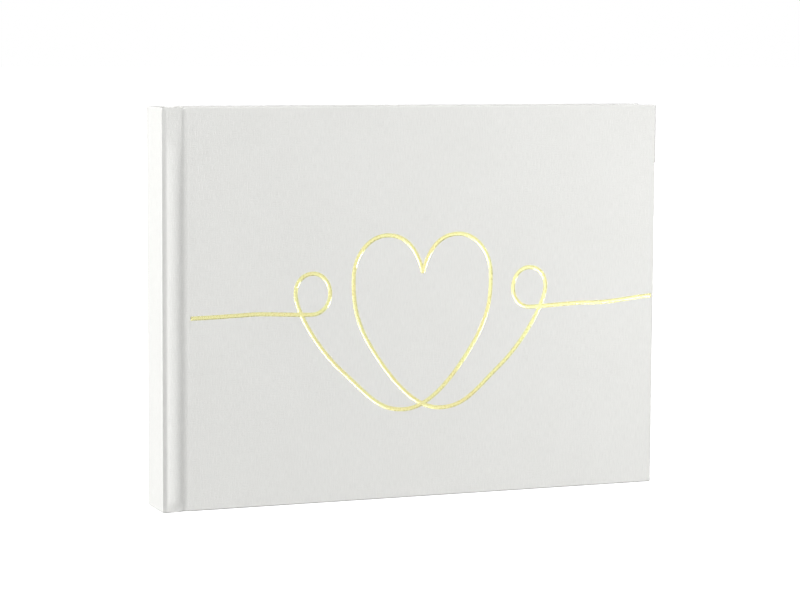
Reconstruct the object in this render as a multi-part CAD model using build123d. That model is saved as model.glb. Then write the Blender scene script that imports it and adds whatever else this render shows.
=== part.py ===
from build123d import *
import os

# Wedding guest book: a landscape case-bound book standing closed on its tail edge.
# Millimetres. +Z is up, +X runs from the spine to the fore edge, and the front cover faces -Y.
# The origin is the middle of the footprint, at the tail edge.

# Whole book
WIDTH = 236.0
HEIGHT = 175.0
THICKNESS = 22.5

# Case materials
CLOTH = 0.4
BOARD = 2.4
SPINE_BOARD = 2.0
PASTEDOWN = 0.2
TURN_IN = 15.0
CLOTH_CORNER = 0.6

# Joint between the spine and each cover: a raised ridge beside the spine, then a shallow groove
COVER_DROP = 0.8
GROOVE_WIDTH = 12.0
GROOVE_DEPTH = 0.2
SPINE_ROUND = 1.0
RIDGE_END = 4.6
GROOVE_FLOOR = 10.6
SPINE_BOARD_SHORT = 0.2
HINGE_PAPER = 0.7
RUN = 0.2

# Text block
SQUARE = 3.0
SPINE_TO_BLOCK = 4.4
GUTTER = 13.5
LEAF = 0.25
LEAF_PITCH = 0.33
FLYLEAF_DEPTH = 3.5
FRONT_LEAVES = 6
BACK_LEAVES = 4
SECTIONS = 8
SECTION_GAP = 0.05
FOLD_ROUND = 0.5

# Spine linings
THREAD = 0.5
MULL = 0.3
LINER = 0.3
BAND_TAPE = 0.2
BAND_BEAD = 1.5
BAND_HEIGHT = 9.0
MULL_SHORT = 1.0
LINER_SHORT = 2.0
STATIONS = (12.0, 46.0, 54.0, 83.5, 91.5, 121.0, 129.0, 163.0)

# Foil line pressed into the front cloth
FOIL_WIDTH = 1.5
FOIL_PLAY = 0.04
FOIL_THICKNESS = 0.1
DEBOSS = 0.25
FLOURISH_X = 3.0
LINE_LEFT_Z = 84.2
LINE_RIGHT_Z = 87.2
LINE_LEFT_LEAD = 8.0
LINE_RIGHT_LEAD = 14.0
LINE_RIGHT_DIP = 0.8
# One half of the flourish, mirrored about FLOURISH_X. Each row is x, z and the direction there.
CURL = [
    (-80.0, 85.0, 14.0, 0.6),
    (-52.0, 84.0, 13.3, 0.6),
    (-44.0, 93.0, 0.0, 15.0),
    (-52.0, 102.0, -13.3, 0.0),
]
HEART = [
    (-52.0, 102.0, -13.3, 0.0),
    (-60.0, 92.0, 2.0, -20.0),
    (-38.0, 58.0, 36.0, -32.0),
    (-9.0, 40.0, 36.0, 0.0),
    (23.0, 66.0, 28.0, 42.0),
    (33.0, 99.0, 0.0, 31.0),
    (17.0, 118.0, -26.5, 0.0),
    (0.0, 101.0, -8.0, -32.0),
]

# Planes that several pieces share
SPINE_X = -WIDTH / 2
FORE_X = WIDTH / 2
HALF = THICKNESS / 2
COVER_HALF = HALF - COVER_DROP
COVER_X = SPINE_X + GROOVE_WIDTH
BLOCK_X = SPINE_X + SPINE_TO_BLOCK
GUTTER_X = SPINE_X + GUTTER
PAGE_X = FORE_X - SQUARE
PAGE_LOW = SQUARE
PAGE_HIGH = HEIGHT - SQUARE
BOARD_DEPTH = CLOTH + BOARD
INNER_DEPTH = BOARD_DEPTH + CLOTH
FRONT, BACK = -1, 1
FRONT_SECTIONS = FLYLEAF_DEPTH + (FRONT_LEAVES + 1) * LEAF_PITCH
BACK_SECTIONS = FLYLEAF_DEPTH + (BACK_LEAVES + 1) * LEAF_PITCH


def slab(x0, x1, y0, y1, z0, z1):
    corner = (Align.MIN, Align.MIN, Align.MIN)
    return Pos(x0, y0, z0) * Box(x1 - x0, y1 - y0, z1 - z0, align=corner)


def layer(side, x0, x1, depth0, depth1, z0, z1):
    """A flat piece between two depths below the outer face of one cover."""
    y0, y1 = sorted((side * (COVER_HALF - depth0), side * (COVER_HALF - depth1)))
    return slab(x0, x1, y0, y1, z0, z1)


# ---- Covers ----

def cover_board(side):
    return layer(side, COVER_X + CLOTH, FORE_X - CLOTH, CLOTH, BOARD_DEPTH, CLOTH, HEIGHT - CLOTH)


def cover_cloth(side):
    """Cloth over the outer face and all four edges, turned in at head, tail and fore edge."""
    skin = layer(side, COVER_X, FORE_X, 0, INNER_DEPTH, 0, HEIGHT)
    outer_face = skin.faces().sort_by(Axis.Y)[0 if side == FRONT else -1]
    skin = fillet(outer_face.edges(), CLOTH_CORNER)
    skin -= cover_board(side)
    low, high = TURN_IN, HEIGHT - TURN_IN
    skin -= layer(side, COVER_X, FORE_X - TURN_IN, BOARD_DEPTH, INNER_DEPTH, low, high)
    return skin


def pastedown(side):
    """Endpaper leaf on the inside of the cover, stepped down inside the turn-ins."""
    rim_end, window = PAGE_X, FORE_X - TURN_IN
    low, high = TURN_IN, HEIGHT - TURN_IN
    top = INNER_DEPTH + PASTEDOWN
    sheet = layer(side, COVER_X, rim_end, INNER_DEPTH, top, PAGE_LOW, PAGE_HIGH)
    sheet += layer(side, COVER_X, window, BOARD_DEPTH, top, low, high)
    well = PASTEDOWN
    sheet -= layer(side, COVER_X, window - well, BOARD_DEPTH + PASTEDOWN, top, low + well, high - well)
    return sheet


# ---- Foil flourish on the front cover ----

def stroke_wire(rows, flip):
    """A smooth line through the rows, mirrored left to right where flip is -1."""
    edges = []
    for (x0, z0, u0, w0), (x1, z1, u1, w1) in zip(rows, rows[1:]):
        start, end = Vector(flip * x0, z0), Vector(flip * x1, z1)
        lead, trail = Vector(flip * u0, w0) / 3, Vector(flip * u1, w1) / 3
        edges.append(Bezier(start, start + lead, end - trail, end))
    return Wire(edges)


def flourish(width):
    """The whole flourish as one flat outline, in the plane of the front cover."""
    x, z, u, w = CURL[0]
    left_end = Vector(COVER_X + CLOTH - FLOURISH_X, LINE_LEFT_Z)
    right_end = Vector(FORE_X - CLOTH - FLOURISH_X, LINE_RIGHT_Z)
    left_bend = left_end + Vector(LINE_LEFT_LEAD, 0)
    right_bend = right_end - Vector(LINE_RIGHT_LEAD, LINE_RIGHT_DIP)
    left = Bezier(left_end, left_bend, Vector(x - u / 3, z - w / 3), Vector(x, z))
    right = Bezier(Vector(-x, z), Vector(-x + u, z - w), right_bend, right_end)
    outline = trace(left, width) + trace(right, width)
    for flip in (1, -1):
        outline += trace(stroke_wire(CURL, flip), width)
        outline += trace(stroke_wire(HEART, flip), width)
    cleft = HEART[-1]
    outline += Pos(cleft[0], cleft[1]) * Circle(width / 2)
    return outline


def pressed(width, depth, thickness):
    """The flourish as a solid whose outer face lies at a depth below the front cloth."""
    cover_plane = Plane(origin=(FLOURISH_X, -COVER_HALF + depth, 0), x_dir=(1, 0, 0), z_dir=(0, -1, 0))
    return extrude(cover_plane * flourish(width), amount=-thickness)


# ---- Spine and joints ----

def joint_outline(side, inset):
    """Section of the joint cloth: round the spine corner, along the ridge, down into the groove."""
    face_y = side * (HALF - SPINE_ROUND)
    top_y = side * (HALF - inset)
    floor_y = side * (COVER_HALF - GROOVE_DEPTH - inset)
    start = (SPINE_X + inset, face_y)
    crest = (SPINE_X + SPINE_ROUND, top_y)
    ridge = (SPINE_X + RIDGE_END, top_y)
    floor = (SPINE_X + GROOVE_FLOOR, floor_y)
    end = (COVER_X - RUN, floor_y)
    return [
        TangentArc(start, crest, tangent=(0, side)),
        Line(crest, ridge),
        Spline(ridge, floor, tangents=[(1, 0), (1, 0)]),
        Line(floor, end),
    ]


def joint_cloth(side):
    outer = joint_outline(side, 0)
    inner = joint_outline(side, CLOTH)
    caps = [Line(outer[0] @ 0, inner[0] @ 0), Line(outer[-1] @ 1, inner[-1] @ 1)]
    section = make_face(outer + inner + caps)
    return extrude(section, amount=HEIGHT, dir=(0, 0, 1))


def endpaper_hinge(side):
    """Mull flange and endpaper that tie the text block to the case under the groove."""
    depth = FLYLEAF_DEPTH - (LEAF_PITCH - LEAF)
    return layer(side, BLOCK_X, COVER_X - RUN, depth - HINGE_PAPER, depth, PAGE_LOW, PAGE_HIGH)


def spine_board():
    edge = COVER_HALF - SPINE_BOARD_SHORT
    board = slab(SPINE_X + CLOTH, SPINE_X + CLOTH + SPINE_BOARD, -edge, edge, CLOTH, HEIGHT - CLOTH)
    corners = board.edges().filter_by(Axis.Z).sort_by(Axis.X)[:2]
    return fillet(corners, SPINE_ROUND - CLOTH)


def spine_cloth():
    """Cloth on the spine face, over both ends of the spine board and turned in behind it."""
    edge = HALF - SPINE_ROUND
    back = SPINE_X + 2 * CLOTH + SPINE_BOARD
    cloth = slab(SPINE_X, back, -edge, edge, 0, HEIGHT)
    cloth -= slab(SPINE_X + CLOTH, back - CLOTH, -edge, edge, CLOTH, HEIGHT - CLOTH)
    cloth -= slab(back - CLOTH, back, -edge, edge, TURN_IN, HEIGHT - TURN_IN)
    return cloth


# ---- Text block ----

def leaf_depth(index):
    """Depth of a turning leaf below the cover's outer face; index 0 is the flyleaf."""
    return FLYLEAF_DEPTH + index * LEAF_PITCH


def leaf(side, index):
    depth = leaf_depth(index)
    return layer(side, GUTTER_X, PAGE_X, depth, depth + LEAF, PAGE_LOW, PAGE_HIGH)


def leaf_folds(side, count):
    """The bound edges of the flyleaf and the turning leaves, held in the spine."""
    strips = []
    for index in range(count + 1):
        depth = leaf_depth(index)
        strips.append(
            layer(side, BLOCK_X, GUTTER_X - RUN, depth, depth + LEAF, PAGE_LOW, PAGE_HIGH)
        )
    return Compound(children=strips)


def section(index):
    """One sewn section of the text block, rounded where its sheets are folded."""
    room = 2 * COVER_HALF - FRONT_SECTIONS - BACK_SECTIONS
    pitch = room / SECTIONS
    y0 = -COVER_HALF + FRONT_SECTIONS + index * pitch
    y1 = y0 + pitch - SECTION_GAP
    block = slab(BLOCK_X, PAGE_X, y0, y1, PAGE_LOW, PAGE_HIGH)
    folds = block.edges().filter_by(Axis.Z).sort_by(Axis.X)[:2]
    return fillet(folds, FOLD_ROUND)


# ---- Sewing and spine linings ----

BLOCK_FRONT = -COVER_HALF + FLYLEAF_DEPTH
BLOCK_BACK = COVER_HALF - FLYLEAF_DEPTH
MULL_X = BLOCK_X - THREAD - MULL
LINER_X = MULL_X - LINER


def sewing_thread():
    """Thread lying across the folds at each sewing station."""
    span = BLOCK_BACK - BLOCK_FRONT
    stitches = []
    for z in STATIONS:
        stitch = Cylinder(THREAD / 2, span, rotation=(90, 0, 0))
        stitches.append(Pos(BLOCK_X - THREAD / 2, (BLOCK_FRONT + BLOCK_BACK) / 2, z) * stitch)
    return Compound(children=stitches)


def spine_mull():
    low = BAND_HEIGHT + MULL_SHORT
    return slab(MULL_X, MULL_X + MULL, BLOCK_FRONT, BLOCK_BACK, low, HEIGHT - low)


def spine_liner():
    return slab(LINER_X, MULL_X, BLOCK_FRONT, BLOCK_BACK, PAGE_LOW + LINER_SHORT, PAGE_HIGH - LINER_SHORT)


def end_band(at_head):
    """Woven band: a tape glued on the block's spine with a bead standing over its edge."""
    edge_z = PAGE_HIGH if at_head else PAGE_LOW
    out = 1 if at_head else -1
    z0, z1 = sorted((edge_z - out * (BAND_HEIGHT - PAGE_LOW), edge_z + out * BAND_BEAD / 2))
    tape = slab(MULL_X, MULL_X + BAND_TAPE, BLOCK_FRONT, BLOCK_BACK, z0, z1)
    bead = Cylinder(BAND_BEAD / 2, BLOCK_BACK - BLOCK_FRONT, rotation=(90, 0, 0))
    return tape + Pos(MULL_X + BAND_BEAD / 2, 0, edge_z + out * BAND_BEAD / 2) * bead


# ---- Parts ----

def all_parts():
    parts = {
        "spine_board": spine_board(),
        "spine_cloth": spine_cloth(),
        "spine_mull": spine_mull(),
        "spine_liner": spine_liner(),
        "sewing_thread": sewing_thread(),
        "headband": end_band(True),
        "tailband": end_band(False),
        "foil_flourish": pressed(FOIL_WIDTH - 2 * FOIL_PLAY, DEBOSS - FOIL_THICKNESS, FOIL_THICKNESS),
    }
    for name, side, leaves in (("front", FRONT, FRONT_LEAVES), ("back", BACK, BACK_LEAVES)):
        parts[name + "_board"] = cover_board(side)
        parts[name + "_cover_cloth"] = cover_cloth(side)
        parts[name + "_pastedown"] = pastedown(side)
        parts[name + "_joint_cloth"] = joint_cloth(side)
        parts[name + "_endpaper_hinge"] = endpaper_hinge(side)
        parts[name + "_leaf_folds"] = leaf_folds(side, leaves)
        parts[name + "_flyleaf"] = leaf(side, 0)
        for index in range(1, leaves + 1):
            parts[name + "_leaf_" + str(index)] = leaf(side, index)
    parts["front_cover_cloth"] -= pressed(FOIL_WIDTH, 0, DEBOSS)
    for index in range(SECTIONS):
        parts["section_" + str(index + 1)] = section(index)
    return parts


os.makedirs("parts", exist_ok=True)
for node, solid in all_parts().items():
    export_step(solid, "parts/" + node + ".step")
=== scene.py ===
import math
import random

import bpy
import numpy as np
from mathutils import Matrix, Vector, geometry, noise


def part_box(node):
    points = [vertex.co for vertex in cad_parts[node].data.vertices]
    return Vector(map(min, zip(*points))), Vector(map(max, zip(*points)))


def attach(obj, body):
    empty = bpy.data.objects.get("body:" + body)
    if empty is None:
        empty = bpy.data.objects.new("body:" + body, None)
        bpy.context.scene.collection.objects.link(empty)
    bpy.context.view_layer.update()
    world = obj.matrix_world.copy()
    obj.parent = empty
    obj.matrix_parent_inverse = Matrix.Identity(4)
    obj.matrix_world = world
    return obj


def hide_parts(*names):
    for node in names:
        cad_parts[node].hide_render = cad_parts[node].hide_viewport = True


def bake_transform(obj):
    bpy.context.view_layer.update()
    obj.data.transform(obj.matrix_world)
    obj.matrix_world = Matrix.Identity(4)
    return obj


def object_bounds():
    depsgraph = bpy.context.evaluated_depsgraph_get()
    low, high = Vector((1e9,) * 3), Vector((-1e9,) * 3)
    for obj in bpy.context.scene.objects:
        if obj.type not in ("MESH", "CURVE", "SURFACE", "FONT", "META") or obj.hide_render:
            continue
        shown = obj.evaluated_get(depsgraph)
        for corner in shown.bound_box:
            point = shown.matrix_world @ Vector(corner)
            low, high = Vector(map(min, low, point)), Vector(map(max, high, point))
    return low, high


# A wedding guest book: cloth case, foil flourish, endpapers, turning leaves and sewn sections.
# The book's own sizes are millimetres: x from the spine face, depth below a cover's outer face and z above
# the tail edge. Finished points, the weave's pitch and the stage are metres.

MM = 0.001
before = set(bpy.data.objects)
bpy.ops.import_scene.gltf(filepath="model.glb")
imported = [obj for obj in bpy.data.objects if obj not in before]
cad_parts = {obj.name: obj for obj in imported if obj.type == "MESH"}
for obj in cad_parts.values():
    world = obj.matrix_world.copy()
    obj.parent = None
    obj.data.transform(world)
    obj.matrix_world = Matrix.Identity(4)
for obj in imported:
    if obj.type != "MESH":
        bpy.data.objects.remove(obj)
cad_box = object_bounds()
random.seed(7)

# ---- Places taken from the frame ----

SPINE_X = cad_box[0].x
WIDTH = (cad_box[1].x - cad_box[0].x) / MM
HEIGHT = (cad_box[1].z - cad_box[0].z) / MM
COVER_HALF = -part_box("front_cover_cloth")[0].y / MM
THICKNESS = 2 * COVER_HALF
PAGE_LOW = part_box("front_leaf_1")[0].z / MM
PAGE_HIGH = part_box("front_leaf_1")[1].z / MM
PAGE_X = (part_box("front_leaf_1")[1].x - SPINE_X) / MM
GUTTER = (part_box("front_leaf_1")[0].x - SPINE_X) / MM
BLOCK_X = (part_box("section_1")[0].x - SPINE_X) / MM
INNER_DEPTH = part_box("front_cover_cloth")[1].y / MM + COVER_HALF
FRONT, BACK = -1, 1
ROOT = "spine_and_block"

# ---- Sizes of the looks, in millimetres ----

# Cloth case. The seam between its two halves is hidden at the back edge of the spine. Rounded edges have
# ARC steps, and rows that stand SUPPORT away from them. The calm lengths are measured from head and tail,
# and the notches are dips in the cloth's edges over the grooves. Comparisons allow NEAR for rounding.
CLOTH = 0.4
THREAD_PITCH = 0.42 * MM
TURN_IN = 15.0
EDGE_ROUND = 0.5
ARC = 3
SUPPORT = 0.2
SEAM_DEPTH = 18.4
BOARD_START = 12.6
CALM_HEAD = (6.0, 32.0)
CALM_TAIL = (0.8, 5.0)
NOTCH_X = 9.5
NOTCH_REACH = 1.5
NOTCH_HEAD = 0.5
NOTCH_TAIL = 0.3
SPINE_EDGE_RISE = 0.38
CORNER_DROP = 0.2
CORNER_REACH = 1.1
WANDER = 0.05
WANDER_SCALE = (0.15, 0.035)
WANDER_IN = (0.5, 2.0)
WANDER_OUT = (11.0, BOARD_START)
STATION_STEP = 0.3
BOARD_COLUMNS = 26
BOARD_ROWS = 20
NEAR = 0.01

# Papers and bands. The close rows and columns of an endpaper follow the edges of the turn-ins. A leaf has
# close columns over LEAF_BEND from the gutter, and the trims are how unevenly leaves and folded sheets are
# cut.
PAPER = 0.18
PAPER_RIPPLE = 0.03
CLOSE_ROWS = (0.0, 1.0, 4.0, 8.0, 11.0, 11.8, 12.2, 12.6, 13.0, 13.4, 13.8, 14.4, 15.5, 18.0)
CLOSE_COLUMNS = (-2.2, -1.6, -1.2, -0.8, -0.4, 0.0, 0.5, 3.0, 8.0)
LEAF_BEND = 14.0
LEAF_STEP = 0.7
LEAF_PAPER = 0.22
LEAF_TRIM = (-0.14, 0.05)
SHEETS = 3
SHEET_TRIM = (-0.16, 0.04)
SHEET_GAP = 0.028
FOLD_STEPS = 8
BAND_BEAD = 1.5
BAND_TAPE = (0.04, 0.2)
BAND_WRAPS = 31
BAND_SIDES = 14

# Flourish: the pressed line's half width, the width and depth of its walls, and where its ends lie.
FOIL_HALF = 0.75
FOIL_SLOPE = 0.32
FOIL_DEPTH = 0.25
FOIL_LIFT = 0.03
FOIL_THICK = 0.018
FOIL_FLOOR_RING = 0.35
FOIL_WALL_RINGS = (-0.5, 0.0, 0.5, 0.9)
FOIL_CLEAR = 3.0
STROKE_STEP = 0.7
FLOURISH_X = 121.0
LINE_MARGIN = 0.35
LINE_LEFT_Z = 84.2
LINE_LEFT_LEAD = 8.0
LINE_RIGHT_Z = 87.2
LINE_RIGHT_LEAD = 14.0
LINE_RIGHT_DIP = 0.8

# ---- Sizes and brightness of the stage, in metres ----

# WALL, CEILING and FLOOR_BOUNCE light the book, the GLOSS values are what it mirrors, and FLOOR_GLOW is what
# the lens sees. The camera turns by a yaw, a pitch and a roll in degrees, and its lens is in millimetres.
WALL = 0.22
CEILING = 0.10
FLOOR_BOUNCE = 0.20
FLOOR_GLOW = 0.95
FLOOR_FADE = 0.9
GLOSS_GLOW = 0.60
GLOSS_DARK = 0.15
GLOSS_LOW = 0.85
GLOSS_HIGH = 0.35
FLOOR_REACH = 12.0
FLOOR_DROP = 0.0001
CAMERA_SPOT = (-0.4319, -1.0712, 0.2089)
CAMERA_TURN = (21.785, 5.988, 0.37)
CAMERA_LENS = 116.37
MIDDLE = (0.0, 0.0, 0.09)

# Each softbox: name, place, target, size and power in watts.
LIGHTS = [
    ("key_left", (-3.0, -2.0, 1.7), MIDDLE, (1.3, 1.3), 215.0),
    ("spine_left", (-1.0, 0.14, 0.42), MIDDLE, (0.5, 0.5), 1.9),
    ("fore_edge_right", (0.36, -0.34, 0.17), (0.10, 0.0, 0.12), (0.14, 0.14), 0.8),
    ("card_right", (0.95, -1.85, 0.35), MIDDLE, (1.3, 1.3), 2.0),
    ("back_right", (1.7, 2.3, 0.55), MIDDLE, (1.2, 1.2), 76.0),
]

# ---- Outlines ----

# Section of the cloth from the spine seam to the board: outer x and depth, inner x and depth, and the
# outer depth near head and tail, where the turned-in cloth flattens the ridge.
JOINT = [
    (0.00, SEAM_DEPTH, 2.8, SEAM_DEPTH, SEAM_DEPTH),
    (0.00, 10.0, 2.8, 10.0, 10.0),
    (0.00, 2.40, 2.8, 3.00, 2.40),
    (0.00, 0.60, 2.8, 1.70, 0.60),
    (0.02, -0.38, 2.8, 1.30, -0.36),
    (0.16, -0.64, 2.85, 1.00, -0.56),
    (0.70, -0.58, 3.0, 0.80, -0.52),
    (1.25, -0.45, 3.1, 0.65, -0.46),
    (1.85, -0.35, 3.3, 0.55, -0.40),
    (2.40, -0.33, 3.6, 0.50, -0.37),
    (2.85, -0.41, 3.8, 0.45, -0.37),
    (3.35, -0.55, 4.0, 0.40, -0.37),
    (3.95, -0.69, 4.3, 0.40, -0.37),
    (4.65, -0.81, 5.0, 0.40, -0.37),
    (5.45, -0.90, 5.7, 0.40, -0.37),
    (6.25, -0.93, 6.4, 0.45, -0.37),
    (7.05, -0.89, 7.1, 0.55, -0.37),
    (7.85, -0.77, 7.8, 0.75, -0.37),
    (8.60, -0.59, 8.5, 1.05, -0.36),
    (9.30, -0.38, 9.2, 1.50, -0.29),
    (10.0, -0.20, 9.9, 1.95, -0.12),
    (10.8, -0.06, 10.7, 2.55, -0.02),
    (11.7, 0.01, 11.6, 3.05, 0.01),
    (BOARD_START, 0.0, BOARD_START, INNER_DEPTH, 0.0),
]

# Outer face of the endpaper, as x and depth: over the turned-in cloth, and in the window between the
# turn-ins.
PAPER_OVER_CLOTH = [
    (4.6, 3.15), (6.0, 3.0), (7.5, 2.72), (8.8, 2.5), (9.6, 2.44), (10.2, 2.66), (10.9, 3.0),
    (11.6, 3.18), (BOARD_START, INNER_DEPTH + 0.005), (WIDTH, INNER_DEPTH + 0.005),
]
PAPER_ON_BOARD = [
    (4.6, 3.15), (6.0, 2.95), (7.5, 2.55), (8.8, 2.18), (9.7, 2.08), (10.4, 2.2), (11.4, 2.6),
    (12.2, 2.8), (13.0, INNER_DEPTH - CLOTH + 0.01), (WIDTH, INNER_DEPTH - CLOTH + 0.01),
]

# One half of the flourish: x from its middle, z and the direction of the line there.
CURL = [
    (-80.0, 85.0, 14.0, 0.6),
    (-52.0, 84.0, 13.3, 0.6),
    (-44.0, 93.0, 0.0, 15.0),
    (-52.0, 102.0, -13.3, 0.0),
]
HEART = [
    (-52.0, 102.0, -13.3, 0.0),
    (-60.0, 92.0, 2.0, -20.0),
    (-38.0, 58.0, 36.0, -32.0),
    (-9.0, 40.0, 36.0, 0.0),
    (23.0, 66.0, 28.0, 42.0),
    (33.0, 99.0, 0.0, 31.0),
    (17.0, 118.0, -26.5, 0.0),
    (0.0, 101.0, -8.0, -32.0),
]


# ---- Helpers ----

def place(side, x, depth, z):
    """A point at x from the spine face, at a depth below one cover's outer face, at height z."""
    return Vector((SPINE_X + x * MM, side * (COVER_HALF - depth) * MM, z * MM))


def smooth(low, high, value):
    """0 below low, 1 above high, and an S-shaped step between them."""
    t = min(1.0, max(0.0, (value - low) / (high - low)))
    return t * t * (3 - 2 * t)


def through(points, step):
    """Points about a step apart on a smooth curve through the given ones."""
    ends = [np.array(q, float) for q in points]
    ends = [2 * ends[0] - ends[1]] + ends + [2 * ends[-1] - ends[-2]]
    made = []
    for a, b, c, d in zip(ends, ends[1:], ends[2:], ends[3:]):
        g0, g1, g2 = (math.sqrt(np.linalg.norm(q - p)) for p, q in ((a, b), (b, c), (c, d)))
        lead = ((b - a) / g0 - (c - a) / (g0 + g1)) * g1 + (c - b)
        trail = ((d - c) / g2 - (d - b) / (g1 + g2)) * g1 + (c - b)
        count = max(1, round(float(np.linalg.norm((c - b)[:2])) / step))
        for k in range(count):
            t = k / count
            made.append(
                (2 * t**3 - 3 * t**2 + 1) * b
                + (t**3 - 2 * t**2 + t) * lead
                + (3 * t**2 - 2 * t**3) * c
                + (t**3 - t**2) * trail
            )
    made.append(ends[-2])
    return made


def new_piece(name, points, faces, material, uvs=None):
    """A mesh object, with a place on the flat cloth for each corner where uvs are given."""
    mesh = bpy.data.meshes.new(name)
    mesh.from_pydata([tuple(p) for p in points], [], faces)
    if uvs:
        layer = mesh.uv_layers.new(name="Weave")
        for loop, uv in zip(layer.data, (c for face in uvs for c in face)):
            loop.uv = uv
    mesh.materials.append(material)
    mesh.polygons.foreach_set("use_smooth", [True] * len(mesh.polygons))
    mesh.update()
    made = bpy.data.objects.new(name, mesh)
    bpy.context.scene.collection.objects.link(made)
    return made


def apply_modifiers(piece):
    """Replaces the piece's mesh with the one that its modifiers make."""
    graph = bpy.context.evaluated_depsgraph_get()
    mesh = bpy.data.meshes.new_from_object(piece.evaluated_get(graph))
    piece.modifiers.clear()
    old = piece.data
    piece.data = mesh
    bpy.data.meshes.remove(old)
    mesh.name = piece.name


def thicken(piece, thickness, offset=-1.0):
    """Gives a sheet its thickness, so that it is a closed solid."""
    weld = piece.modifiers.new("weld", "WELD")
    weld.merge_threshold = 0.002 * MM
    solid = piece.modifiers.new("thickness", "SOLIDIFY")
    solid.thickness = thickness
    solid.offset = offset
    solid.use_even_offset = True
    apply_modifiers(piece)


def sharpen(piece, angle=50):
    """Keeps edges sharper than the angle, in degrees, from being shaded smooth."""
    piece.data.set_sharp_from_angle(angle=math.radians(angle))


# ---- Material nodes ----

def add(tree, kind, inputs=None, **settings):
    made = tree.nodes.new("ShaderNode" + kind)
    for key, value in settings.items():
        setattr(made, key, value)
    for key, value in (inputs or {}).items():
        if isinstance(value, bpy.types.NodeSocket):
            tree.links.new(value, made.inputs[key])
        else:
            made.inputs[key].default_value = value
    return made


def maths(tree, operation, a, b=0.0, c=0.0):
    return add(tree, "Math", {0: a, 1: b, 2: c}, operation=operation).outputs[0]


def ramp(tree, factor, *stops):
    """A colour ramp from (position, colour) stops."""
    made = add(tree, "ValToRGB", {"Fac": factor})
    bar = made.color_ramp
    while len(bar.elements) < len(stops):
        bar.elements.new(0.5)
    for element, (position, colour) in zip(bar.elements, stops):
        element.position = position
        element.color = (*colour, 1.0)
    return made.outputs["Color"]


def grey_ramp(tree, factor, *stops):
    return ramp(tree, factor, *((position, (v, v, v)) for position, v in stops))


def noise_at(tree, vector, scale, detail=2.0, roughness=0.5, stretch=None):
    if stretch:
        vector = add(tree, "Mapping", {"Vector": vector, "Scale": stretch}).outputs["Vector"]
    made = add(
        tree, "TexNoise", {"Vector": vector, "Scale": scale, "Detail": detail, "Roughness": roughness}
    )
    return made.outputs["Fac"]


def mixed(tree, factor, a, b, blend="MIX"):
    """Two colours mixed: a Mix node keeps its colours at inputs 6 and 7 and output 2."""
    made = add(tree, "Mix", data_type="RGBA", blend_type=blend)
    for index, value in ((0, factor), (6, a), (7, b)):
        if isinstance(value, bpy.types.NodeSocket):
            tree.links.new(value, made.inputs[index])
        else:
            made.inputs[index].default_value = value
    return made.outputs[2]


def bump(tree, height, distance, strength=1.0, normal=None):
    inputs = {"Height": height, "Distance": distance, "Strength": strength}
    if normal is not None:
        inputs["Normal"] = normal
    return add(tree, "Bump", inputs).outputs["Normal"]


def new_material(name):
    material = bpy.data.materials.new(name)
    material.use_nodes = True
    return material, material.node_tree, material.node_tree.nodes["Principled BSDF"]


def shader_values(shader, **values):
    for key, value in values.items():
        shader.inputs[key.replace("_", " ")].default_value = value


def join(tree, socket, shader, key):
    tree.links.new(socket, shader.inputs[key])


def weave_height(tree, vector, pitch):
    """Height of a plain weave, 0 to 1: warp and weft pass over and under each other."""
    parts = add(tree, "SeparateXYZ", {"Vector": vector})
    turn = math.pi / pitch
    warp = maths(tree, "SINE", maths(tree, "MULTIPLY", parts.outputs["X"], turn))
    weft = maths(tree, "SINE", maths(tree, "MULTIPLY", parts.outputs["Y"], turn))
    over = maths(tree, "MULTIPLY_ADD", maths(tree, "MULTIPLY", warp, weft), 0.8, 0.5)
    warp_top = maths(tree, "MULTIPLY", maths(tree, "MULTIPLY", warp, warp), over)
    under = maths(tree, "SUBTRACT", 1.0, over)
    weft_top = maths(tree, "MULTIPLY", maths(tree, "MULTIPLY", weft, weft), under)
    return maths(tree, "ADD", warp_top, weft_top)


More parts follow.
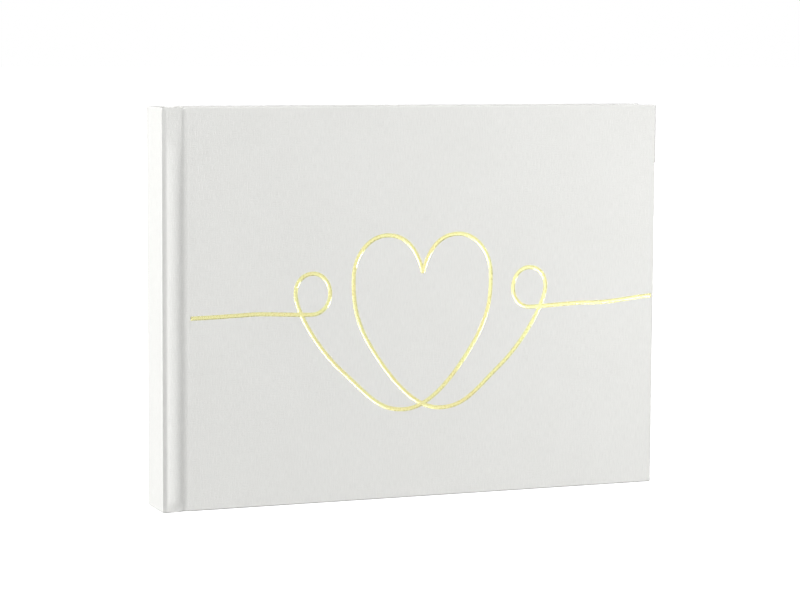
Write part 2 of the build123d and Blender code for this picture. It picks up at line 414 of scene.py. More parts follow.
def cloth_material():
    """Off-white linen book cloth: plain weave, slubs along both thread directions, faint mottling, shade
    painted between threads.
    """
    material, tree, shader = new_material("book_cloth")
    flat = add(tree, "UVMap", uv_map="Weave").outputs["UV"]
    drift = add(
        tree, "TexNoise", {"Vector": flat, "Scale": 260.0, "Detail": 2.0}, noise_dimensions="2D"
    )
    centred = {0: drift.outputs["Color"], 1: (0.5, 0.5, 0.5)}
    shift = add(tree, "VectorMath", centred, operation="SUBTRACT")
    sway = add(tree, "VectorMath", {0: shift.outputs[0], "Scale": 0.35 * MM}, operation="SCALE")
    threads = add(tree, "VectorMath", {0: flat, 1: sway.outputs[0]}, operation="ADD").outputs[0]
    weave = weave_height(tree, threads, THREAD_PITCH)
    slub_up = noise_at(tree, flat, 1.0, 2.0, 0.6, (2200.0, 260.0, 1.0))
    slub_across = noise_at(tree, flat, 1.0, 2.0, 0.6, (260.0, 2200.0, 1.0))
    thick_up = grey_ramp(tree, slub_up, (0.52, 0.0), (0.74, 1.0))
    thick_across = grey_ramp(tree, slub_across, (0.52, 0.0), (0.74, 1.0))
    slubs = maths(tree, "MAXIMUM", thick_up, thick_across)
    height = maths(tree, "ADD", weave, maths(tree, "MULTIPLY", slubs, 0.9))
    mottle = noise_at(tree, flat, 30.0, 2.0, 0.5)
    ground = ramp(tree, mottle, (0.3, (0.737, 0.738, 0.716)), (0.7, (0.747, 0.748, 0.727)))
    # Painted shade: the colour darkens by up to 12 per cent where the weave is low, in the gaps between the
    # threads.
    gaps = grey_ramp(tree, weave, (0.0, 0.88), (0.5, 1.0))
    gap_shaded_ground = mixed(tree, 1.0, ground, gaps, "MULTIPLY")
    tints = grey_ramp(tree, slub_up, (0.30, 0.965), (0.50, 1.0), (0.70, 1.03))
    join(tree, mixed(tree, 1.0, gap_shaded_ground, tints, "MULTIPLY"), shader, "Base Color")
    join(tree, bump(tree, height, 0.05 * MM), shader, "Normal")
    shader_values(shader, Roughness=0.86, Sheen_Weight=0.12, Sheen_Roughness=0.5)
    shader.inputs["Specular IOR Level"].default_value = 0.25
    return material


def foil_material():
    """Pale lemon gold hot-stamping foil, smooth, with a slow ripple from the cloth under it."""
    material, tree, shader = new_material("gold_foil")
    flat = add(tree, "UVMap", uv_map="Weave").outputs["UV"]
    ripple = noise_at(tree, flat, 260.0, 2.0, 0.5)
    fine = noise_at(tree, flat, 1500.0, 2.0, 0.5)
    tone = noise_at(tree, flat, 60.0, 2.0)
    gold = ramp(tree, tone, (0.3, (0.95, 0.87, 0.43)), (0.7, (0.94, 0.93, 0.46)))
    join(tree, gold, shader, "Base Color")
    join(tree, grey_ramp(tree, fine, (0.3, 0.24), (0.7, 0.32)), shader, "Roughness")
    join(tree, bump(tree, ripple, 0.12 * MM, 0.5), shader, "Normal")
    shader_values(shader, Metallic=1.0)
    return material


def paper_material(name, low, high, grain=700.0, lift=0.012 * MM, rough=0.86):
    """Uncoated paper: fine fibre and a faint cloudy tone."""
    material, tree, shader = new_material(name)
    spot = add(tree, "TexCoord").outputs["Object"]
    fibre = noise_at(tree, spot, grain, 4.0, 0.65)
    cloud = noise_at(tree, spot, 45.0, 3.0, 0.6)
    mix = maths(tree, "ADD", maths(tree, "MULTIPLY", fibre, 0.35), maths(tree, "MULTIPLY", cloud, 0.65))
    join(tree, ramp(tree, mix, (0.35, low), (0.65, high)), shader, "Base Color")
    join(tree, bump(tree, fibre, lift), shader, "Normal")
    shader_values(shader, Roughness=rough)
    shader.inputs["Specular IOR Level"].default_value = 0.3
    return material


def board_material():
    """Raw grey board with flecks of pulp."""
    material, tree, shader = new_material("greyboard")
    spot = add(tree, "TexCoord").outputs["Object"]
    pulp = noise_at(tree, spot, 520.0, 5.0, 0.7)
    layers = noise_at(tree, spot, 1.0, 2.0, 0.5, (40.0, 4200.0, 40.0))
    mix = maths(tree, "ADD", maths(tree, "MULTIPLY", pulp, 0.6), maths(tree, "MULTIPLY", layers, 0.4))
    grey = ramp(tree, mix, (0.35, (0.20, 0.18, 0.15)), (0.65, (0.33, 0.30, 0.26)))
    join(tree, grey, shader, "Base Color")
    join(tree, bump(tree, mix, 0.05 * MM), shader, "Normal")
    shader_values(shader, Roughness=0.92)
    return material


def textile_material(name, low, high, pitch, lift):
    """A small woven or twisted textile: ribs along the object's own axes, with shade painted into the
    weave's hollows.
    """
    material, tree, shader = new_material(name)
    spot = add(tree, "TexCoord").outputs["Object"]
    quarter = math.radians(90)
    turned = add(tree, "Mapping", {"Vector": spot, "Rotation": (0.0, quarter, quarter)})
    weave = weave_height(tree, turned.outputs["Vector"], pitch)
    fuzz = noise_at(tree, spot, 1500.0, 3.0, 0.6)
    height = maths(tree, "ADD", weave, maths(tree, "MULTIPLY", fuzz, 0.4))
    # Painted shade: the colour runs from low in the weave's hollows to high on the threads' tops, and the
    # fuzz adds random tone.
    join(tree, ramp(tree, height, (0.1, low), (0.9, high)), shader, "Base Color")
    join(tree, bump(tree, height, lift), shader, "Normal")
    shader_values(shader, Roughness=0.9, Sheen_Weight=0.15)
    return material


CLOTH_LOOK = cloth_material()
FOIL_LOOK = foil_material()
PAGE_LOOK = paper_material("page_paper", (0.785, 0.772, 0.735), (0.82, 0.81, 0.775))
ENDPAPER_LOOK = paper_material("endpaper", (0.765, 0.752, 0.712), (0.79, 0.778, 0.74), 420.0, 0.03 * MM)
LINER_LOOK = paper_material("kraft", (0.25, 0.155, 0.085), (0.36, 0.24, 0.14), 600.0, 0.03 * MM, 0.9)
BOARD_LOOK = board_material()
# For each textile the first colour is painted shade for the weave's hollows and the second the colour of its
# threads' tops.
MULL_LOOK = textile_material("mull", (0.30, 0.27, 0.20), (0.66, 0.62, 0.52), 1.1 * MM, 0.15 * MM)
THREAD_LOOK = textile_material(
    "linen_thread", (0.55, 0.51, 0.42), (0.72, 0.68, 0.58), 0.25 * MM, 0.05 * MM
)
BAND_LOOK = textile_material("band_cotton", (0.60, 0.58, 0.52), (0.76, 0.74, 0.69), 0.3 * MM, 0.04 * MM)


# ---- Flourish ----

def bezier_points(p0, p1, p2, p3):
    """Points about a step apart on one curve, which is a little longer than the line between its ends."""
    points = [np.array(p, float) for p in (p0, p1, p2, p3)]
    count = max(2, round(np.linalg.norm(points[3] - points[0]) * 1.15 / STROKE_STEP))
    made = []
    for k in range(count + 1):
        t = k / count
        weights = ((1 - t) ** 3, 3 * t * (1 - t) ** 2, 3 * t**2 * (1 - t), t**3)
        made.append(sum(w * p for w, p in zip(weights, points)))
    return made


def stroke(rows, flip):
    """Points along one stroke of the flourish, mirrored where flip is -1."""
    made = []
    for (x0, z0, u0, w0), (x1, z1, u1, w1) in zip(rows, rows[1:]):
        piece = bezier_points(
            (flip * x0, z0),
            (flip * (x0 + u0 / 3), z0 + w0 / 3),
            (flip * (x1 - u1 / 3), z1 - w1 / 3),
            (flip * x1, z1),
        )
        made += piece if not made else piece[1:]
    return made


def flourish_strokes(left_x, right_x):
    """Every stroke of the flourish as a line of points, in x from the spine face and z."""
    x, z, u, w = CURL[0]
    left = (left_x - FLOURISH_X, LINE_LEFT_Z)
    right = (right_x - FLOURISH_X, LINE_RIGHT_Z)
    left_bend = (left[0] + LINE_LEFT_LEAD, left[1])
    right_bend = (right[0] - LINE_RIGHT_LEAD, right[1] - LINE_RIGHT_DIP)
    lines = [
        bezier_points(left, left_bend, (x - u / 3, z - w / 3), (x, z)),
        bezier_points((-x, z), (-x + u, z - w), right_bend, right),
    ]
    for flip in (1, -1):
        lines.append(stroke(CURL, flip))
        lines.append(stroke(HEART, flip))
    return [np.array(line) + (FLOURISH_X, 0.0) for line in lines]


def distance_to(lines, spots):
    """Distance from each spot to the nearest of the lines."""
    nearest = np.full(len(spots), 1e9)
    for line in lines:
        start, run = line[:-1], line[1:] - line[:-1]
        length = np.maximum((run**2).sum(1), 1e-12)
        for block in range(0, len(spots), 2000):
            some = spots[block:block + 2000, None, :] - start[None]
            t = np.clip((some * run).sum(2) / length, 0, 1)
            gap = np.linalg.norm(some - t[..., None] * run, axis=2).min(1)
            nearest[block:block + 2000] = np.minimum(nearest[block:block + 2000], gap)
    return nearest


def pressed_depth(gap):
    """Depth of the pressed line at a distance from its middle."""
    return FOIL_DEPTH * (1 - smooth(FOIL_HALF - FOIL_SLOPE / 2, FOIL_HALF + FOIL_SLOPE / 2, gap))


def offset_line(line, gap):
    """The line moved sideways."""
    run = np.gradient(line, axis=0)
    run /= np.linalg.norm(run, axis=1)[:, None]
    return line + gap * np.stack([-run[:, 1], run[:, 0]], axis=1)


def pressed_face(rim, inside):
    """Triangles over a flat face with the flourish pressed into it. rim and inside are (index, x, z) of
    vertices that exist already, and a triangle's negative index -1 - n is the new point n. Returns the
    triangles and the new points as (x, depth, z, distance from the line)."""
    xs = [p[1] for p in rim]
    lines = flourish_strokes(min(xs) + LINE_MARGIN, max(xs) - LINE_MARGIN)
    far = distance_to(lines, np.array([(x, z) for _, x, z in inside])) > FOIL_CLEAR
    held = list(rim) + [p for p, keep in zip(inside, far) if keep]
    points = [Vector((x, z)) for _, x, z in held]
    edges = [(k, (k + 1) % len(rim)) for k in range(len(rim))]
    rings = [FOIL_FLOOR_RING] + [FOIL_HALF + share * FOIL_SLOPE for share in FOIL_WALL_RINGS]
    for line in lines:
        for gap in [0.0] + [sign * ring for ring in rings for sign in (-1, 1)]:
            first = len(points)
            points += [Vector((x, z)) for x, z in offset_line(line, gap)]
            edges += [(k, k + 1) for k in range(first, len(points) - 1)]
    made = geometry.delaunay_2d_cdt(points, edges, [], 0, 1e-4)
    spots = np.array([tuple(p) for p in made[0]])
    gaps = distance_to(lines, spots)
    index = []
    fresh = []
    for spot, gap, came_from in zip(spots, gaps, made[3]):
        old = [held[c][0] for c in came_from if c < len(held)]
        index.append(old[0] if old else -1 - len(fresh))
        if not old:
            fresh.append((spot[0], pressed_depth(gap), spot[1], gap))
    triangles = [tuple(index[v] for v in face) for face in made[2]]
    return [t for t in triangles if len(set(t)) == 3], fresh


# ---- Cloth case ----

def row_fractions():
    """Heights of the rows of a station, as shares of the way from tail to head."""
    low = [EDGE_ROUND, EDGE_ROUND + SUPPORT, 1.2, 2.0, 3.0, 4.0, 5.0, 6.0, 7.2, 8.5, 10.0, 11.5, 13.0]
    low.append(TURN_IN)
    middle = list(np.linspace(TURN_IN, HEIGHT - TURN_IN, BOARD_ROWS)[1:-1])
    rows = low + middle + [HEIGHT - z for z in reversed(low)]
    return [(z - EDGE_ROUND) / (HEIGHT - 2 * EDGE_ROUND) for z in rows]


ROWS = row_fractions()


def ridge_wander(x, z):
    """How far the ridge wanders in depth along the book, fading out at the spine face and the board."""
    across, along = WANDER_SCALE
    fade = smooth(*WANDER_IN, x) * (1 - smooth(*WANDER_OUT, x))
    return WANDER * noise.noise((x * across, z * along, 3.0)) * fade


def station_loop(outer, inner, calm_depth, shrink):
    """One closed loop of (x, depth, z) about the wrapped board: up the outer face, over the head, down the
    inner face and round the tail. Near head and tail the outer face goes to the calm depth."""
    outer, inner = np.array(outer, float), np.array(inner, float)
    across = inner - outer
    h = float(np.linalg.norm(across))
    across /= h
    r = min(EDGE_ROUND, 0.45 * h) * (1 - shrink / EDGE_ROUND)
    notch = math.exp(-(((outer[0] - NOTCH_X) / NOTCH_REACH) ** 2))
    past_corner = math.hypot(outer[0], max(0.0, outer[1] + SPINE_EDGE_RISE)) / CORNER_REACH
    corner = CORNER_DROP * math.exp(-(past_corner**2))
    low = shrink + r + NOTCH_TAIL * notch + corner
    high = HEIGHT - shrink - r - NOTCH_HEAD * notch - corner
    heights = [low + share * (high - low) for share in ROWS]
    calming = calm_depth - outer[1]
    made = []

    def point(into, z, sunk=0.0):
        x, depth = outer + across * into
        made.append((x, depth + sunk, z))

    for z in heights:
        calm = 1 - smooth(*CALM_TAIL, z) * smooth(*CALM_HEAD, HEIGHT - z)
        point(0.0, z, calm * calming + ridge_wander(outer[0], z))
    turns = [math.pi / 2 * k / ARC for k in range(1, ARC + 1)]
    for turn in turns:
        point(r * (1 - math.cos(turn)), high + r * math.sin(turn), calming * math.cos(turn))
    for turn in reversed(turns):
        point(h - r * (1 - math.cos(turn)), high + r * math.sin(turn))
    for z in reversed(heights):
        point(h, z)
    for turn in turns:
        point(h - r * (1 - math.cos(turn)), low - r * math.sin(turn))
    for turn in reversed(turns):
        point(r * (1 - math.cos(turn)), low - r * math.sin(turn), calming * math.cos(turn))
    return made


def case_stations(seam_depth):
    """Stations from the spine seam to the fore edge: outer, inner, calm depth and corner shrink."""
    joint = [JOINT[0]] + [row for row in JOINT[1:] if row[1] < seam_depth - 1]
    joint[0] = (0.0, seam_depth, 2.8, seam_depth, seam_depth)
    stations = [((q[0], q[1]), (q[2], q[3]), q[4], 0.0) for q in through(joint, STATION_STEP)]
    edge = WIDTH - EDGE_ROUND
    window = WIDTH - TURN_IN
    xs = [BOARD_START + SUPPORT] + list(np.linspace(BOARD_START, window, BOARD_COLUMNS)[1:])
    xs += list(np.linspace(window, edge - SUPPORT, 3)[1:]) + [edge]
    stations += [((x, 0.0), (x, INNER_DEPTH), 0.0, 0.0) for x in xs]
    for k in range(1, ARC + 1):
        turn = math.pi / 2 * k / ARC
        x = edge + EDGE_ROUND * math.sin(turn)
        drop = EDGE_ROUND * (1 - math.cos(turn))
        stations.append(((x, drop), (x, INNER_DEPTH - drop), drop, drop))
    return stations


def weave_square(side, left, right, low, high):
    """Where a face's corners lie on the flat cloth, in metres."""
    left, right = -side * left * MM, -side * right * MM
    low, high = low * MM, high * MM
    return ((left, low), (right, low), (right, high), (left, high))


def in_window(loops, i, k):
    """Whether a face lies inside the turn-ins, where the board is bare."""
    inner = len(ROWS) + 2 * ARC <= k < 2 * len(ROWS) + 2 * ARC - 1
    low, high = sorted((loops[i][k][2], loops[i][(k + 1) % len(loops[i])][2]))
    between = low > TURN_IN - NEAR and high < HEIGHT - TURN_IN + NEAR
    return inner and between and loops[i + 1][k][0] < WIDTH - TURN_IN + NEAR


def wrapped_faces(loops, ahead, around, side, is_cut):
    """Faces between the loops and over the fore edge, with their places on the flat cloth."""
    count, rows = len(loops[0]), len(ROWS)
    faces, uvs = [], []
    for i in range(len(loops) - 1):
        for k in range(count):
            if in_window(loops, i, k) or is_cut(i, k):
                continue
            n = (k + 1) % count
            faces.append((i * count + k, (i + 1) * count + k, (i + 1) * count + n, i * count + n))
            uvs.append(weave_square(side, ahead[i], ahead[i + 1], around[k], around[k + 1]))
    end = (len(loops) - 1) * count
    for k in range(rows - 1):
        inner = end + 2 * (rows + ARC) - 1 - k
        faces.append((end + k, inner, inner - 1, end + k + 1))
        uvs.append(weave_square(side, ahead[-1], ahead[-1] + INNER_DEPTH, around[k], around[k + 1]))
    return faces, uvs


def flourish_faces(loops, first, last, start):
    """The flat of the cover with the flourish pressed in: triangles, new points, and a function that gives
    a vertex's place on the flat cloth, where the first loop is start from the seam."""
    count = len(loops[0])
    grid = []
    for i in range(first, last + 1):
        grid.append([(i * count + k, loops[i][k][0], loops[i][k][2]) for k in range(1, len(ROWS) - 1)])
    rim = grid[0] + [column[-1] for column in grid[1:]] + grid[-1][-2::-1]
    rim += [column[0] for column in grid[-2:0:-1]]
    inside = [p for column in grid[1:-1] for p in column[1:-1]]
    triangles, fresh = pressed_face(rim, inside)
    known = {index: (x, z) for index, x, z in rim + inside}
    offset = start - loops[first][0][0]

    def flat_uv(v):
        x, z = known[v] if v >= 0 else (fresh[-1 - v][0], fresh[-1 - v][2])
        return ((offset + x) * MM, (z - EDGE_ROUND) * MM)

    return triangles, fresh, flat_uv


def case_cloth(name, side, seam_depth, flourish):
    """The cloth from the spine seam over the joint and one board, with its turn-ins. With a flourish it
    also returns the triangles, points and places on the flat cloth that the foil needs."""
    stations = case_stations(seam_depth)
    loops = [station_loop(*station) for station in stations]
    full = loops[-1 - ARC]
    around = np.cumsum([0.0] + [math.dist(a, b) for a, b in zip(full, full[1:] + full[:1])])
    ahead = np.cumsum([0.0] + [math.dist(a[0], b[0]) for a, b in zip(stations, stations[1:])])
    first = next(i for i, s in enumerate(stations) if s[0][0] > BOARD_START + SUPPORT / 2)
    last = next(i for i, s in enumerate(stations) if s[0][0] > WIDTH - EDGE_ROUND - 1.5 * SUPPORT)

    def is_pressed(i, k):
        return flourish and first <= i < last and 1 <= k < len(ROWS) - 2

    faces, uvs = wrapped_faces(loops, ahead, around, side, is_pressed)
    points = [p for loop in loops for p in loop]
    foil = None
    if flourish:
        foil = flourish_faces(loops, first, last, ahead[first])
        triangles, fresh, flat_uv = foil
        base = len(points)
        points += [p[:3] for p in fresh]
        for triangle in triangles:
            faces.append(tuple(v if v >= 0 else base - 1 - v for v in triangle))
            uvs.append(tuple(flat_uv(v) for v in triangle))
    if side == BACK:
        faces = [face[::-1] for face in faces]
        uvs = [face[::-1] for face in uvs]
    made = new_piece(name, [place(side, *p) for p in points], faces, CLOTH_LOOK, uvs)
    thicken(made, CLOTH * MM)
    sharpen(made)
    return made, foil


def foil_piece(foil):
    """The foil: the floor and sides of the pressed line, lifted a hair off the cloth."""
    triangles, fresh, flat_uv = foil
    limit = FOIL_HALF + FOIL_SLOPE / 2 + NEAR
    chosen = [t for t in triangles if all(v < 0 and fresh[-1 - v][3] < limit for v in t)]
    used = sorted({v for t in chosen for v in t})
    index = {v: k for k, v in enumerate(used)}
    spots = [fresh[-1 - v] for v in used]
    points = [place(FRONT, x, depth - FOIL_LIFT, z) for x, depth, z, _ in spots]
    faces = [tuple(index[v] for v in t) for t in chosen]
    uvs = [tuple(flat_uv(v) for v in t) for t in chosen]
    made = new_piece("foil_line", points, faces, FOIL_LOOK, uvs)
    thicken(made, FOIL_THICK * MM)
    return made


# ---- Endpapers, leaves and sections ----

def grid_piece(name, columns, material, flip):
    """A sheet through columns of points, one column after another."""
    rows = len(columns[0])
    points = [p for column in columns for p in column]
    faces = []
    for i in range(len(columns) - 1):
        for k in range(rows - 1):
            a = i * rows + k
            face = (a, a + rows, a + rows + 1, a + 1)
            faces.append(face[::-1] if flip else face)
    return new_piece(name, points, faces, material)


def read_profile(profile, x):
    """The depth at x on an outline of (x, depth) points, level at each of them."""
    for (x0, d0), (x1, d1) in zip(profile, profile[1:]):
        if x <= x1:
            return d0 + (d1 - d0) * smooth(x0, x1, x)
    return profile[-1][1]


def endpaper(name, side):
    """The endpaper from the flyleaf's fold, through the joint and over the inside of the board."""
    columns = []
    window_x = WIDTH - TURN_IN
    xs = list(np.arange(BLOCK_X + 0.2, 13.2, 0.3)) + list(np.linspace(14.0, window_x - 3, 24))
    xs += [window_x + step for step in CLOSE_COLUMNS] + [PAGE_X]
    zs = [PAGE_LOW + z for z in CLOSE_ROWS] + list(np.linspace(PAGE_LOW + 24, PAGE_HIGH - 24, 18))
    zs += [PAGE_HIGH - z for z in reversed(CLOSE_ROWS)]
    for x in xs:
        column = []
        for z in zs:
            inside = smooth(TURN_IN - 0.2, TURN_IN + 1.4, min(z, HEIGHT - z))
            inside *= smooth(0.0, 1.6, window_x - x)
            over, under = read_profile(PAPER_OVER_CLOTH, x), read_profile(PAPER_ON_BOARD, x)
            ripple = PAPER_RIPPLE * noise.noise((x * 0.05, z * 0.05, 8.0 * side)) * inside
            column.append(place(side, x, over + (under - over) * inside + ripple + PAPER, z))
        columns.append(column)
    made = grid_piece(name, columns, ENDPAPER_LOOK, side == FRONT)
    thicken(made, PAPER * MM)
    sharpen(made)
    return made


def leaf_sheet(name, side, look):
    """One leaf from its fold in the spine to the trimmed fore edge."""
    low, high = (v.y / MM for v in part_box(name))
    depth = COVER_HALF - (high if side == BACK else -low)
    xs = list(np.linspace(BLOCK_X, GUTTER, 5))
    xs += list(np.arange(GUTTER + LEAF_STEP, GUTTER + LEAF_BEND + 1, LEAF_STEP))
    trim, drop, rise = (random.uniform(*LEAF_TRIM) for _ in range(3))
    xs += list(np.linspace(GUTTER + LEAF_BEND + 6, PAGE_X + trim, 9))
    zs = np.linspace(PAGE_LOW - drop, PAGE_HIGH + rise, 9)
    columns = [[place(side, x, depth, z) for z in zs] for x in xs]
    made = grid_piece(name + "_sheet", columns, look, side == BACK)
    thicken(made, LEAF_PAPER * MM)
    sharpen(made)
    return made


def fold_line(half, centre, trims):
    """One folded sheet as x and y: in along one side, round the fold and out along the other."""
    line = [(x, -half) for x in np.linspace(trims[0], centre, 6)]
    for k in range(1, FOLD_STEPS):
        turn = math.pi * k / FOLD_STEPS
        line.append((centre - half * math.sin(turn), -half * math.cos(turn)))
    return line + [(x, half) for x in np.linspace(centre, trims[1], 6)]


def folded_section(name):
    """One sewn section: folded sheets, one inside the other."""
    low, high = (v.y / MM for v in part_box(name))
    middle, pitch = (low + high) / 2, (high - low) / (2 * SHEETS)
    centre = BLOCK_X + (high - low) / 2
    points, faces = [], []
    for sheet in range(SHEETS):
        half = (high - low) / 2 - (sheet + 0.5) * pitch
        trims = [PAGE_X + random.uniform(*SHEET_TRIM) for _ in range(2)]
        drop, rise = random.uniform(*LEAF_TRIM), random.uniform(*LEAF_TRIM)
        line = fold_line(half, centre, trims)
        zs = np.linspace(PAGE_LOW - drop, PAGE_HIGH + rise, 7)
        base, rows = len(points), len(zs)
        points += [Vector((SPINE_X + x * MM, (middle + y) * MM, z * MM)) for x, y in line for z in zs]
        for i in range(len(line) - 1):
            for k in range(rows - 1):
                a = base + i * rows + k
                faces.append((a, a + 1, a + rows + 1, a + rows))
    made = new_piece(name + "_sheets", points, faces, PAGE_LOOK)
    thicken(made, (pitch - SHEET_GAP) * MM, 0.0)
    sharpen(made)
    return made


def band_bead(x, z, y_low, y_high):
    """Thread wound round a core along Y, as points and faces."""
    rings = BAND_WRAPS * 6
    points, faces = [], []
    for i in range(rings + 1):
        share = i / rings
        y = y_low + share * (y_high - y_low)
        taper = 0.3 + 0.7 * math.sqrt(smooth(0, 0.02, min(share, 1 - share)))
        for k in range(BAND_SIDES):
            turn = 2 * math.pi * k / BAND_SIDES
            wrap = abs(math.sin(math.pi * share * BAND_WRAPS + 0.5 * turn))
            radius = BAND_BEAD / 2 * (0.84 + 0.15 * wrap) * taper
            points.append(Vector((x + radius * math.cos(turn), y, z + radius * math.sin(turn))) * MM)
    for i in range(rings):
        for k in range(BAND_SIDES):
            a, n = i * BAND_SIDES + k, i * BAND_SIDES + (k + 1) % BAND_SIDES
            faces.append((a, n, n + BAND_SIDES, a + BAND_SIDES))
    faces.append(tuple(range(BAND_SIDES))[::-1])
    faces.append(tuple(rings * BAND_SIDES + k for k in range(BAND_SIDES)))
    return points, faces


def band_tape(spine_x, z, far_z, y_low, y_high, base):
    """The tape under the bead, a thin closed slab, as points and faces whose first vertex is base."""
    across, along = 12, 8
    points, faces = [], []
    for face_x in BAND_TAPE:
        for i in range(across + 1):
            for k in range(along + 1):
                y = y_low + (y_high - y_low) * i / across
                points.append(Vector((spine_x + face_x, y, z + (far_z - z) * k / along)) * MM)
    row, sheet = along + 1, (across + 1) * (along + 1)
    for i in range(across):
        for k in range(along):
            a = i * row + k
            faces.append((a, a + 1, a + row + 1, a + row))
            faces.append((a + sheet, a + sheet + row, a + sheet + row + 1, a + sheet + 1))
    sides = [(i * row, (i + 1) * row) for i in range(across)]
    sides += [((i + 1) * row + along, i * row + along) for i in range(across)]
    sides += [(k + 1, k) for k in range(along)]
    sides += [(across * row + k, across * row + k + 1) for k in range(along)]
    faces += [(a, b, b + sheet, a + sheet) for a, b in sides]
    return points, [tuple(base + v for v in face) for face in faces]


def end_band(name):
    """Head or tail band: a wound bead over a tape glued to the block."""
    low, high = (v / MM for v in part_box(name))
    bead = BAND_BEAD / 2
    head = high.z > HEIGHT / 2
    z = high.z - bead if head else low.z + bead
    far_z = low.z if head else high.z
    points, faces = band_bead(low.x + bead, z, low.y, high.y)
    tape_points, tape_faces = band_tape(low.x, z, far_z, low.y, high.y, len(points))
    made = new_piece(name + "_bead", points + tape_points, faces + tape_faces, BAND_LOOK)
    sharpen(made)
    return made


# ---- The book ----


def build_case():
    """Both halves of the cloth, the foil and the endpapers."""
    for name, side, seam in (("front", FRONT, SEAM_DEPTH), ("back", BACK, THICKNESS - SEAM_DEPTH)):
        cover = name + "_cover"
        cloth, foil = case_cloth(name + "_case_cloth", side, seam, side == FRONT)
        stood_for = [cover + "_cloth", name + "_joint_cloth"]
        if foil:
            stood_for.append("spine_cloth")
            line = foil_piece(foil)
            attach(line, cover)
            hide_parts("foil_flourish")
        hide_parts(*stood_for)
        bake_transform(cloth)
        paper = endpaper(name + "_endpaper", side)
        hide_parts(name + "_pastedown", name + "_endpaper_hinge")
        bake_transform(paper)


def build_leaves():
    """The leaves and the flyleaves. The CAD node of the folds that hold them is hidden."""
    for name, side in (("front", FRONT), ("back", BACK)):
        leaves = [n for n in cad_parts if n.startswith((name + "_leaf_", name + "_flyleaf"))]
        for node in sorted(n for n in leaves if not n.endswith("_folds")):
            flyleaf = node.endswith("flyleaf")
            made = leaf_sheet(node, side, ENDPAPER_LOOK if flyleaf else PAGE_LOOK)
            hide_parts(node)
            if flyleaf:
                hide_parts(name + "_leaf_folds")
            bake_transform(made)


def build_block():
    """The sewn sections and the end bands, which stay with the spine."""
    for name in sorted(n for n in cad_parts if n.startswith("section_")):
        made = folded_section(name)
        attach(made, ROOT)
        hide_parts(name)
    for name in ("headband", "tailband"):
        made = end_band(name)
        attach(made, ROOT)
        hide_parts(name)


def dress_nodes():
    """Materials for the CAD nodes whose shape is right already."""
    looks = {
        "front_board": BOARD_LOOK,
        "back_board": BOARD_LOOK,
        "spine_board": BOARD_LOOK,
        "spine_mull": MULL_LOOK,
        "spine_liner": LINER_LOOK,
        "sewing_thread": THREAD_LOOK,
    }
    for name, look in looks.items():
        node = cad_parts[name]
        for slot in node.material_slots:
            slot.material = look


# ---- Stage ----

def floor_material():
    """White paper sweep. It glows to the lens, so that it shows plain white, and in reflections, where it
    fades towards the spine side. It lights the book as dim paper."""
    material, tree, shader = new_material("white_sweep")
    path = add(tree, "LightPath")
    seen, mirrored = path.outputs["Is Camera Ray"], path.outputs["Is Glossy Ray"]
    spot = add(tree, "TexCoord").outputs["Object"]
    grain = noise_at(tree, spot, 300.0, 2.0)
    paper = grey_ramp(tree, grain, (0.3, 0.88), (0.7, 0.90))
    join(tree, mixed(tree, seen, (FLOOR_BOUNCE,) * 3 + (1.0,), paper), shader, "Base Color")
    across = add(tree, "SeparateXYZ", {"Vector": spot}).outputs["X"]
    fade = maths(tree, "ADD", across, FLOOR_FADE)
    shade = grey_ramp(tree, fade, (0.0, GLOSS_DARK), (FLOOR_FADE, GLOSS_GLOW))
    shine = maths(tree, "MULTIPLY", mirrored, shade)
    join(tree, maths(tree, "MULTIPLY_ADD", seen, FLOOR_GLOW, shine), shader, "Emission Strength")
    shader_values(shader, Roughness=0.9, Emission_Color=(1.0, 1.0, 1.0, 1.0))
    shader.inputs["Specular IOR Level"].default_value = 0.0
    return material


def build_floor():
    mesh = bpy.data.meshes.new("floor")
    corners = [(x * FLOOR_REACH, y * FLOOR_REACH, 0) for x, y in ((-1, -1), (1, -1), (1, 1), (-1, 1))]
    mesh.from_pydata(corners, [], [(0, 1, 2, 3)])
    mesh.materials.append(floor_material())
    floor = bpy.data.objects.new("floor", mesh)
    floor.location.z = -FLOOR_DROP
    bpy.context.scene.collection.objects.link(floor)


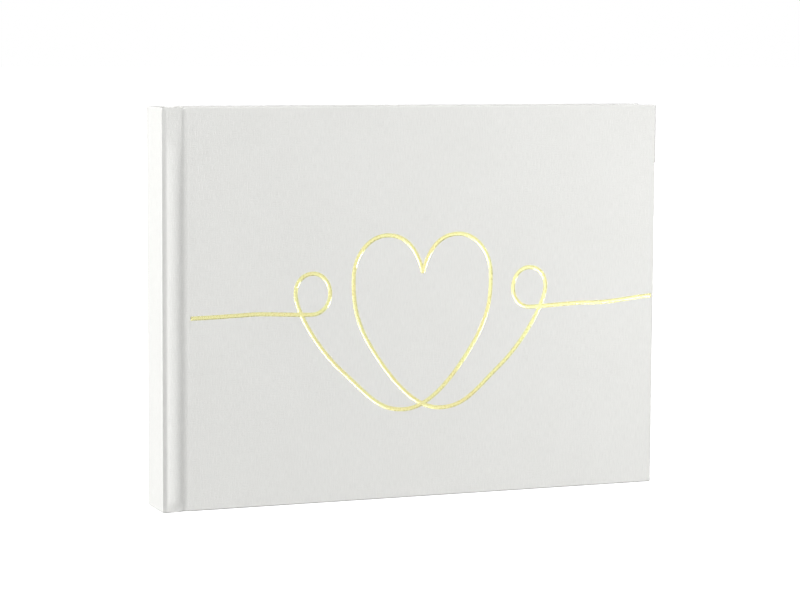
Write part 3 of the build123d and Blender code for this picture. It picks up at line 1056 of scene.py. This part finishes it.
def soft_light(name, spot, target, size, power):
    """A softbox that faces its target and that the lens doesn't see."""
    light = bpy.data.lights.new(name, "AREA")
    light.shape = "RECTANGLE"
    light.size, light.size_y = size
    light.energy = power
    lamp = bpy.data.objects.new(name, light)
    bpy.context.scene.collection.objects.link(lamp)
    lamp.visible_camera = False
    lamp.location = spot
    lamp.rotation_euler = (Vector(target) - Vector(spot)).to_track_quat("-Z", "Y").to_euler()


def build_light():
    """Softboxes round the book, and a room that is dim to the book, bright in reflections and plain white
    to the lens."""
    world = bpy.data.worlds.new("studio")
    world.use_nodes = True
    tree = world.node_tree
    path = add(tree, "LightPath")
    parts = add(tree, "SeparateXYZ", {"Vector": add(tree, "TexCoord").outputs["Generated"]})
    height = parts.outputs["Z"]
    room = grey_ramp(tree, height, (0.1, WALL), (0.6, CEILING))
    bright = grey_ramp(tree, height, (0.0, GLOSS_LOW), (0.7, GLOSS_HIGH))
    side = maths(tree, "ADD", parts.outputs["X"], 1.0)
    shade = grey_ramp(tree, side, (0.4, GLOSS_DARK), (1.0, 1.0))
    bright = mixed(tree, 1.0, bright, shade, "MULTIPLY")
    room = mixed(tree, path.outputs["Is Glossy Ray"], room, bright)
    white = mixed(tree, path.outputs["Is Camera Ray"], room, (1.0, 1.0, 1.0, 1.0))
    tree.links.new(white, tree.nodes["Background"].inputs["Color"])
    bpy.context.scene.world = world
    for row in LIGHTS:
        soft_light(*row)
    bpy.context.scene.view_settings.view_transform = "Standard"


def build_camera():
    """The camera at the photograph's viewing angle."""
    yaw, pitch, roll = (math.radians(a) for a in CAMERA_TURN)
    data = bpy.data.cameras.new("camera")
    data.sensor_width = 36.0
    data.lens = CAMERA_LENS
    camera = bpy.data.objects.new("camera", data)
    bpy.context.scene.collection.objects.link(camera)
    camera.rotation_mode = "XYZ"
    look = Vector((math.sin(yaw) * math.cos(pitch), math.cos(yaw) * math.cos(pitch), -math.sin(pitch)))
    tilt = look.to_track_quat("-Z", "Y").to_matrix()
    camera.location = CAMERA_SPOT
    camera.rotation_euler = (tilt @ Matrix.Rotation(roll, 3, "Z")).to_euler()
    bpy.context.scene.camera = camera


build_case()
build_leaves()
build_block()
dress_nodes()
build_floor()
build_light()
build_camera()
